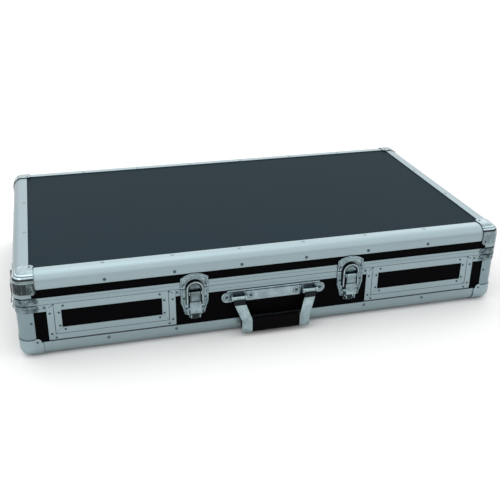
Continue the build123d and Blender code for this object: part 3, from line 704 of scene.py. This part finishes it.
gripLook = {
    "colour": (0.0011, 0.0011, 0.0014, 1),
    "specular": 0.025,
    "roughness": 0.42,
    "pebble": 1150,
    "pebbleRough": 0.16,
    "wear": (70, 4.0),
    "wearShades": (0.8, 1.7),
    "wearRough": 0.08,
    "bump": (0.45, 0.00035),
}


def mouldedGrip(name):
    look = gripLook
    paint = Paint(name, specular=look["specular"])
    pebble = paint.cells(look["pebble"])
    wear = paint.noise(*look["wear"])
    rough = look["roughness"] + pebble * look["pebbleRough"] + wear * look["wearRough"]
    paint.join("Base Color", paint.shades(wear, look["colour"], *look["wearShades"]))
    paint.join("Roughness", rough.clamped())
    paint.join("Normal", paint.bump(pebble, *look["bump"]))
    return paint


foamLook = {
    "colour": (0.021, 0.021, 0.024, 1),
    "specular": 0.15,
    "roughness": 0.88,
    "cell": 620,
    "cellGain": 1.4,
    "cellShades": (0.35, 1.5),
    "fine": (1488, 3.0),
    "fineRough": 0.1,
    "fineHeight": 0.5,
    "bump": (0.8, 0.0012),
}


def openCellFoam(name):
    look = foamLook
    paint = Paint(name, specular=look["specular"])
    cell = paint.cells(look["cell"])
    fine = paint.noise(*look["fine"])
    cells = (cell * look["cellGain"]).clamped()
    paint.join("Base Color", paint.shades(cells, look["colour"], *look["cellShades"]))
    paint.join("Roughness", (look["roughness"] + fine * look["fineRough"]).clamped())
    paint.join("Normal", paint.bump(cell + fine * look["fineHeight"], *look["bump"]))
    return paint


paints = {
    "alongX": anodised("anodisedAlongFront", "X", anodisedLook["colour"]),
    "alongY": anodised("anodisedAlongSides", "Y", anodisedLook["shadedSideColour"]),
    "alongZ": anodised("anodisedPosts", "Z", anodisedLook["shadedPostColour"]),
    "rimX": anodisedRim("closingProfileFront", "X"),
    "rimY": anodisedRim("closingProfileSides", "Y"),
    "frame": anodisedFrame("accessFrameProfile"),
    "side": laminate("sideLaminate", *laminateLook["side"]),
    "top": laminate("topLaminatePaintedSheen", *laminateLook["top"]),
    "rivet": rivetSteel("rivetHeads", rivetLook["dark"]),
    "midRivet": rivetSteel("lowRivetHeads", rivetLook["middle"]),
    "lightRivet": rivetSteel("topRivetHeads", rivetLook["light"]),
    "pit": darkPit("paintedShadeFill"),
    "grip": mouldedGrip("mouldedGrip"),
    "foam": openCellFoam("openCellFoam"),
}
paints.update((name, plated(name)) for name in platedLooks)
print("finishes ready,", len(paints))


# Which finish a node has: by its whole name, or by how its name ends
finishByName = {
    "lid_top_panel": "top",
    "base_bottom_corners": "cornerAlloy",
    "lid_ball_corners": "ballChrome",
    "base_corner_braces": "braceSteel",
    "lid_corner_braces": "braceSteel",
    "hinge_pins": "rivet",
    "latch_plates": "latchPlate",
    "latch_keepers": "keeperSteel",
    "handle_plate": "handlePlate",
    "handle_arms": "handleArm",
    "handle_grip": "grip",
}
finishByEnding = {
    "panel": "side",
    "wall": "side",
    "board": "side",
    "surround": "frame",
    "frame": "frame",
    "posts": "alongZ",
    "lever": "latchLever",
    "loop": "latchLoop",
    "rivets": "rivet",
    "foam": "foam",
}


def finishOf(name):
    ending = name.split("_")[-1]
    if ending in ("rim", "edge"):
        kind = "rim" if ending == "rim" else "along"
        return kind + ("X" if "front" in name or "rear" in name else "Y")
    return finishByName.get(name) or finishByEnding.get(ending, "brightPlate")


# Worn, slightly rounded edges: width in metres, steps, the finishes that have them
softenLook = (
    (0.0004, 3, ("brightPlate", "braceSteel", "keeperSteel", "ballChrome")),
    (0.0004, 3, ("cornerAlloy", "latchPlate", "handlePlate")),
    (0.0005, 3, ("latchLever", "handleArm")),
    (0.0009, 3, ("latchLoop",)),
    (0.0012, 3, ("grip",)),
    (0.0003, 2, ("side", "top")),
    (0.00022, 2, ("frame", "rimX", "rimY")),
    (0.00018, 2, ("alongX", "alongY", "alongZ")),
)
softenForm = {"weld": 0.000004, "flatDegrees": 1.0, "sharpDegrees": 35}
wornEdges = {finish: (width, steps) for width, steps, finishes in softenLook for finish in finishes}


def soften(piece, width, steps):
    mesh = piece.data
    if "custom_normal" in mesh.attributes:
        mesh.attributes.remove(mesh.attributes["custom_normal"])
    for face in mesh.polygons:
        face.use_smooth = True
    weld = piece.modifiers.new("weld", "WELD")
    weld.merge_threshold = softenForm["weld"]
    flatten = piece.modifiers.new("flatten", "DECIMATE")
    flatten.decimate_type = "DISSOLVE"
    flatten.angle_limit = math.radians(softenForm["flatDegrees"])
    bevel = piece.modifiers.new("wornEdge", "BEVEL")
    bevel.limit_method = "ANGLE"
    bevel.angle_limit = math.radians(softenForm["sharpDegrees"])
    bevel.width = width
    bevel.segments = steps
    bevel.use_clamp_overlap = True
    bevel.harden_normals = True


for name, piece in nodes.items():
    finish = finishOf(name)
    piece.data.materials.clear()
    piece.data.materials.append(paints[finish].material)
    if finish in wornEdges:
        soften(piece, *wornEdges[finish])
print("frame nodes finished")


# Each wall seen from outside: the axis to its right, the axis up it, how far out it stands
walls = {
    "front": (Vector((1, 0, 0)), Vector((0, 0, 1)), -frontLine),
    "rear": (Vector((-1, 0, 0)), Vector((0, 0, 1)), rearLine),
    "left": (Vector((0, -1, 0)), Vector((0, 0, 1)), halfWidth),
    "right": (Vector((0, 1, 0)), Vector((0, 0, 1)), halfWidth),
    "top": (Vector((1, 0, 0)), Vector((0, 1, 0)), lidTop),
}


def onWall(side, along, height, out=0.0):
    # a wall's own axes, set at the case's own coordinates along it and up it
    right, up, stand = walls[side]
    outward = right.cross(up)
    spot = Vector([abs(c) for c in right]) * along + up * height + outward * (stand + out)
    return Matrix.Translation(spot) @ Matrix((right, up, outward)).transposed().to_4x4()


def newPiece(name, bm, body, finishes, replaced=()):
    mesh = bpy.data.meshes.new(name)
    bmesh.ops.recalc_face_normals(bm, faces=bm.faces)
    bm.to_mesh(mesh)
    bm.free()
    piece = bpy.data.objects.new(name, mesh)
    scene.collection.objects.link(piece)
    for finish in finishes:
        mesh.materials.append(paints[finish].material)
    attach(piece, body)
    if replaced:
        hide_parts(*replaced)
    return piece


def circle(radius, steps, centre=(0, 0)):
    angles = [2 * math.pi * i / steps for i in range(steps)]
    return [(centre[0] + radius * math.cos(a), centre[1] + radius * math.sin(a)) for a in angles]


def turned(bm, outline, place, steps, pitFrom):
    # a turned form: rings of (radius, height), the last ones in the second finish
    rings = []
    for radius, height in outline:
        spots = circle(radius, steps) if radius else [(0, 0)]
        rings.append([bm.verts.new(place @ Vector((x, y, height))) for x, y in spots])
    for count, (low, high) in enumerate(zip(rings, rings[1:])):
        for i in range(steps):
            after = i + 1
            loop = [low[i % len(low)], low[after % len(low)], high[after % len(high)], high[i % len(high)]]
            face = bm.faces.new(list(dict.fromkeys(loop)))
            face.smooth = True
            face.material_index = 1 if count >= pitFrom else 0


# Pop rivets: a domed head with the pulled pin's pit in its middle, darkened with painted shade
rivetForm = {
    "radius": 0.0022,
    "height": 0.00085,
    "lift": 0.00001,
    "skirt": 0.22,             # share of the height that stands straight
    "dome": (0.86, 0.66, 0.42),
    "pit": 0.00062,
    # share of the pit's radius, share of the height
    "pitRings": ((1.25, 0.97), (1.0, 0.8), (0.9, 0.35), (0, 0.3)),
    "sides": 16,
    "rows": (-0.240, -0.144, -0.048, 0.048, 0.144, 0.240),
    "sideRows": (middleLine - 0.0585, middleLine + 0.0585),
    "baseLevel": 0.0187,
    "lidLevel": 0.1100,
    "inset": 0.0175,
}


def popRivet(bm, place, radius=rivetForm["radius"], height=rivetForm["height"]):
    form = rivetForm
    skirt = form["skirt"]
    pit = form["pit"] * radius / form["radius"]
    head = [(0, form["lift"]), (radius, form["lift"]), (radius, height * skirt)]
    for share in form["dome"]:
        head.append((radius * share, height * (skirt + (1 - skirt) * math.sqrt(1 - share ** 2))))
    hole = [(pit * wide, height * level) for wide, level in form["pitRings"]]
    turned(bm, head + hole, place, form["sides"], pitFrom=len(head) + 1)


def edgeRivets(level):
    bm = bmesh.new()
    for x in rivetForm["rows"]:
        popRivet(bm, onWall("front", x, level))
        popRivet(bm, onWall("rear", x, level))
    for y in rivetForm["sideRows"]:
        popRivet(bm, onWall("left", y, level))
        popRivet(bm, onWall("right", y, level))
    return bm


def topRivets(inset):
    bm = bmesh.new()
    for x in rivetForm["rows"]:
        popRivet(bm, onWall("top", x, frontLine + inset))
        popRivet(bm, onWall("top", x, rearLine - inset))
    for y in rivetForm["sideRows"]:
        popRivet(bm, onWall("top", -halfWidth + inset, y))
        popRivet(bm, onWall("top", halfWidth - inset, y))
    return bm


baseRow = edgeRivets(rivetForm["baseLevel"])
newPiece("baseEdgeRivets", baseRow, "base", ("midRivet", "pit"), ("base_rivets",))
lidRow = edgeRivets(rivetForm["lidLevel"])
newPiece("lidEdgeRivets", lidRow, "lid", ("rivet", "pit"), ("lid_rivets",))
newPiece("lidTopRivets", topRivets(rivetForm["inset"]), "lid", ("lightRivet", "lightRivet"))


# Smaller rivets in the frames, posts, braces, corner fittings, latches and hinges
fittingRivets = {
    "small": (0.0016, 0.0006),     # radius, height
    # across from each frame's middle, height
    "frame": ((0.066, 0.0772), (0.072, 0.0672), (0.0718, 0.0468), (0.0652, 0.0404)),
    "surround": ((0.0840, 0.0672), (0.0837, 0.0350), (0.0784, 0.0286)),
    "rim": (0.0905, 0.0772),
    "post": (0.0185, 0.0545),      # in from the corner, height
    "cornerReach": 0.0235,
    "cornerProud": (0.0012, 0.0015),
    # in from the corner, height on the base and on the lid, how far out
    "brace": (0.0265, 0.0763, 0.0868, 0.0012),
    # across from each latch's middle, up or down from the parting line
    "latchPlate": ((0.0156, -0.0150), (0.0118, -0.0310)),
    "latchKeeper": (0.0158, 0.0066),
    "latchOut": 0.0015,
    "hinge": 0.192,
    "hingeSteps": (-0.021, 0.0, 0.021),
    "hingeLevels": (-0.0190, 0.0190),
    "hingeOut": 0.00155,
}
latchPlaces = {
    "front_left": ("front", -latchFront),
    "front_right": ("front", latchFront),
    "left_side": ("left", latchSide),
    "right_side": ("right", latchSide),
}


def cornerSpots(inset):
    # the two places on each wall that lie one inset from its ends
    return (
        ("front", -halfWidth + inset), ("front", halfWidth - inset),
        ("rear", -halfWidth + inset), ("rear", halfWidth - inset),
        ("left", frontLine + inset), ("left", rearLine - inset),
        ("right", frontLine + inset), ("right", rearLine - inset),
    )


def smallRivet(bm, side, along, height, out=0.0):
    popRivet(bm, onWall(side, along, height, out), *fittingRivets["small"])


def frameRivets(base):
    form = fittingRivets
    for centre in (-frameMiddle, frameMiddle):
        for across, level in form["frame"] + form["surround"] + (form["rim"],):
            for turn in (-1, 1):
                smallRivet(base, "front", centre + across * turn, level)


def cornerRivets(base, lid):
    form = fittingRivets
    inset, level = form["post"]
    for side, along in cornerSpots(inset):
        smallRivet(base, side, along, level)
    away = form["cornerReach"]
    lowProud, highProud = form["cornerProud"]
    for side, along in cornerSpots(away):
        smallRivet(base, side, along, edgeLow + away, lowProud)
        smallRivet(lid, side, along, lidTop - away, highProud)
    for x in (-halfWidth + away, halfWidth - away):
        for y in (frontLine + away, rearLine - away):
            smallRivet(lid, "top", x, y, highProud)
    inset, lowLevel, highLevel, proud = form["brace"]
    for side, along in cornerSpots(inset):
        smallRivet(base, side, along, lowLevel, proud)
        smallRivet(lid, side, along, highLevel, proud)


def latchRivets(base, lid):
    form = fittingRivets
    for side, along in latchPlaces.values():
        for turn in (-1, 1):
            across, up = form["latchKeeper"]
            smallRivet(lid, side, along + across * turn, parting + up, form["latchOut"])
            for across, up in form["latchPlate"]:
                smallRivet(base, side, along + across * turn, parting + up, form["latchOut"])


def hingeRivets(base, lid):
    form = fittingRivets
    for turn in (-1, 1):
        for step in form["hingeSteps"]:
            for bm, level in zip((base, lid), form["hingeLevels"]):
                smallRivet(bm, "rear", form["hinge"] * turn + step, parting + level, form["hingeOut"])


def addFittingRivets():
    base = bmesh.new()
    lid = bmesh.new()
    frameRivets(base)
    cornerRivets(base, lid)
    latchRivets(base, lid)
    hingeRivets(base, lid)
    newPiece("baseFittingRivets", base, "base", ("rivet", "pit"))
    newPiece("lidFittingRivets", lid, "lid", ("rivet", "pit"))


addFittingRivets()
print("rivets set")


# Dark sheets of painted shade: in the recess under each frame, in a notch at each groove's end and in a
# mitre cut beside it
recessForm = {
    "sillHalf": 0.0875,
    "sill": (0.02378, 0.02462),
    "sillDepths": (-0.0012, -0.0003),
    "notch": (0.0785, 0.0806, 0.0011),         # across, height, radius
    "notchSteps": 12,
    "notchDepths": (-0.0001, 0.00012),
    "cut": ((0.0788, 0.0802), (0.0848, 0.0765), 0.00045),  # its two ends, half width
    "cutDepths": (-0.0001, 0.00006),
}


def slab(bm, corners, place, depths, narrowed=(1, 1)):
    # a thin sheet with its outline on a wall, between two depths, narrowed at its face
    first, last = depths
    low = [bm.verts.new(place @ Vector((x, y, first))) for x, y in corners]
    high = [bm.verts.new(place @ Vector((x * narrowed[0], y * narrowed[1], last))) for x, y in corners]
    bm.faces.new(high)
    bm.faces.new(list(reversed(low)))
    for i in range(len(corners)):
        after = (i + 1) % len(corners)
        bm.faces.new((low[i], low[after], high[after], high[i]))


def addRecesses():
    form = recessForm
    bm = bmesh.new()
    half = form["sillHalf"]
    low, high = form["sill"]
    for centre in (-frameMiddle, frameMiddle):
        place = onWall("front", centre, 0)
        slab(bm, [(-half, low), (half, low), (half, high), (-half, high)], place, form["sillDepths"])
        for turn in (-1, 1):
            x, y, radius = form["notch"]
            slab(bm, circle(radius, form["notchSteps"], (x * turn, y)), place, form["notchDepths"])
            (x0, y0), (x1, y1), wide = form["cut"]
            start = [(x0 * turn, y0 + wide), (x0 * turn, y0 - wide)]
            end = [(x1 * turn, y1 - wide), (x1 * turn, y1 + wide)]
            slab(bm, start + end, place, form["cutDepths"])
    newPiece("frameRecesses", bm, "base", ("pit",))


addRecesses()


def pressedRib(bm, path, place, width, height, steps=6, closed=False, endShare=0.55):
    # a low half-round rib pressed along a path drawn on a wall, smaller at open ends
    points = [Vector((x, y, 0)) for x, y in path]
    count = len(points)
    rows = []
    for i, point in enumerate(points):
        before = points[i - 1] if i or closed else point
        after = points[(i + 1) % count] if i + 1 < count or closed else point
        run = (after - before).normalized()
        side = Vector((-run.y, run.x, 0))
        taper = 1.0 if closed or 0 < i < count - 1 else endShare
        row = []
        for k in range(steps + 1):
            angle = math.pi * k / steps
            flat = side * (math.cos(angle) * width / 2 * taper)
            raised = Vector((0, 0, math.sin(angle) * height * taper))
            row.append(bm.verts.new(place @ (point + flat + raised)))
        rows.append(row)
    pairs = list(zip(rows, rows[1:]))
    if closed:
        pairs.append((rows[-1], rows[0]))
    for low, high in pairs:
        for k in range(steps):
            face = bm.faces.new((low[k], low[k + 1], high[k + 1], high[k]))
            face.smooth = True
        bm.faces.new((low[0], high[0], high[-1], low[-1]))
    if not closed:
        bm.faces.new(rows[0])
        bm.faces.new(reversed(rows[-1]))


def archPath(half, shoulder, crown, low, steps=14, straight=0.6):
    # up one side, over an arch and down the other, from the parting line
    rise = crown - shoulder
    path = [(-half, low), (-half, shoulder * straight)]
    for i in range(steps + 1):
        angle = math.pi * (1 - i / steps)
        path.append((half * math.cos(angle), shoulder + rise * math.sin(angle)))
    return path + [(half, shoulder * straight), (half, low)]


# Pressed detail of the draw latches: ribs round the keeper and the plate, a raised lever face
latchDetail = {
    "plateOut": 0.00148,
    "rib": (0.0024, 0.0012),           # width, height
    "innerRib": (0.0011, 0.0006),
    # half width, shoulder, crown and foot of each arch, from the parting line
    "keeperArch": (0.0174, 0.0126, 0.0204, 0.0030),
    "innerArch": (0.0137, 0.0020, 0.0152, 0.0012),
    "plateRib": (
        (0.0178, -0.0030),
        (0.0178, -0.0205),
        (0.0166, -0.0268),
        (0.0134, -0.0378),
        (0.0110, -0.0402),
    ),
    "leverOut": 0.00795,
    "leverPad": (0.0056, -0.0084, -0.0172),    # half width, top, foot
    "leverBead": (0.0009, 0.00035, 4),         # width, height, steps
}


def addLatchPressings():
    look = latchDetail
    lid = bmesh.new()
    base = bmesh.new()
    for side, along in latchPlaces.values():
        place = onWall(side, along, parting, look["plateOut"])
        pressedRib(lid, archPath(*look["keeperArch"]), place, *look["rib"])
        pressedRib(lid, archPath(*look["innerArch"]), place, *look["innerRib"])
        for turn in (-1, 1):
            path = [(x * turn, y) for x, y in look["plateRib"]]
            pressedRib(base, path, place, *look["rib"])
    newPiece("keeperRibs", lid, "lid", ("brightPlate",))
    newPiece("latchPlateRibs", base, "base", ("latchPlate",))


def addLeverPads():
    look = latchDetail
    half, top, low = look["leverPad"]
    path = [(-half, top), (half, top), (half, low), (-half, low)]
    for label, (side, along) in latchPlaces.items():
        bm = bmesh.new()
        pressedRib(bm, path, onWall(side, along, parting, look["leverOut"]), *look["leverBead"], closed=True)
        newPiece(label + "LeverPad", bm, label + "_lever", ("latchLever",))


addLatchPressings()
addLeverPads()
print("latches dressed")


# The handle plate: riveted ends, pressed ribs beside the two arm sockets, dark sheets of painted shade in
# the openings
handleDetail = {
    "centre": 0.0595,
    "out": 0.00052,
    "rivets": (-0.0703, -0.0344, 0.0344, 0.0703),
    "rivetSize": (0.0024, 0.0008),
    "collarRadius": 0.0048,
    "collarSteps": 24,
    "collar": (0.0011, 0.00045, 4),    # width, height, steps
    "socket": 0.0535,
    "socketHalf": (0.0128, 0.0069),
    "socketRib": (0.0016, 0.0008, 5),
    "openingUp": 0.0052,
    "openingHalf": (0.0079, 0.0013),
    "openingDepths": (0, 0.00008),
    "openingNarrowed": (0.97, 0.85),
}


def addHandlePressings(look):
    bm = bmesh.new()
    for x in look["rivets"]:
        ring = circle(look["collarRadius"], look["collarSteps"])
        pressedRib(bm, ring, onWall("front", x, look["centre"], look["out"]), *look["collar"], closed=True)
    across, up = look["socketHalf"]
    for turn in (-1, 1):
        place = onWall("front", look["socket"] * turn, look["centre"], look["out"])
        for edge in (-1, 1):
            path = [(across * edge, -up), (across * edge, 0), (across * edge, up)]
            pressedRib(bm, path, place, *look["socketRib"])
    newPiece("handlePlatePressings", bm, "base", ("handlePlate",))


def addHandleRivets(look):
    bm = bmesh.new()
    for x in look["rivets"]:
        popRivet(bm, onWall("front", x, look["centre"], look["out"]), *look["rivetSize"])
    newPiece("handleRivets", bm, "base", ("rivet", "pit"))


# dark sheets of painted shade in the arm openings
def addSocketOpenings(look):
    bm = bmesh.new()
    half, tall = look["openingHalf"]
    corners = [(-half, -tall), (half, -tall), (half, tall), (-half, tall)]
    for turn in (-1, 1):
        place = onWall("front", look["socket"] * turn, look["centre"] + look["openingUp"], look["out"])
        slab(bm, corners, place, look["openingDepths"], look["openingNarrowed"])
    newPiece("handleSocketOpenings", bm, "base", ("pit",))


addHandlePressings(handleDetail)
addHandleRivets(handleDetail)
addSocketOpenings(handleDetail)
print("handle dressed")


# Foam lining: each pad a soft-cornered block that fills its place
foamForm = {"round": 0.0045, "steps": 3, "profile": 0.6, "fill": 0.9}


def islands(piece):
    # lowest and highest corner of each separate solid of a node, by joining the ends of its edges
    mesh = piece.data
    keys = [tuple(round(c, 6) for c in vert.co) for vert in mesh.vertices]
    parent = {key: key for key in keys}

    def rootOf(key):
        while parent[key] != key:
            parent[key] = parent[parent[key]]
            key = parent[key]
        return key

    for edge in mesh.edges:
        first, last = (keys[v] for v in edge.vertices)
        parent[rootOf(first)] = rootOf(last)
    groups = {}
    for key in parent:
        groups.setdefault(rootOf(key), []).append(key)
    return [([min(axis) for axis in zip(*group)], [max(axis) for axis in zip(*group)])
            for group in groups.values()]


def addPads(name, node, body):
    form = foamForm
    bm = bmesh.new()
    for low, high in islands(nodes[node]):
        size = [high[k] - low[k] for k in range(3)]
        for vert in bmesh.ops.create_cube(bm, size=1.0)["verts"]:
            vert.co = Vector([low[k] + (vert.co[k] + 0.5) * size[k] for k in range(3)])
    shape = {"offset": form["round"], "segments": form["steps"], "profile": form["profile"]}
    bmesh.ops.bevel(bm, geom=list(bm.edges), affect="EDGES", **shape)
    for face in bm.faces:
        face.smooth = True
    piece = newPiece(name, bm, body, ("foam",), (node,))


addPads("baseFoamPads", "base_foam", "base")
addPads("lidFoamPad", "lid_foam", "lid")
print("foam laid in")
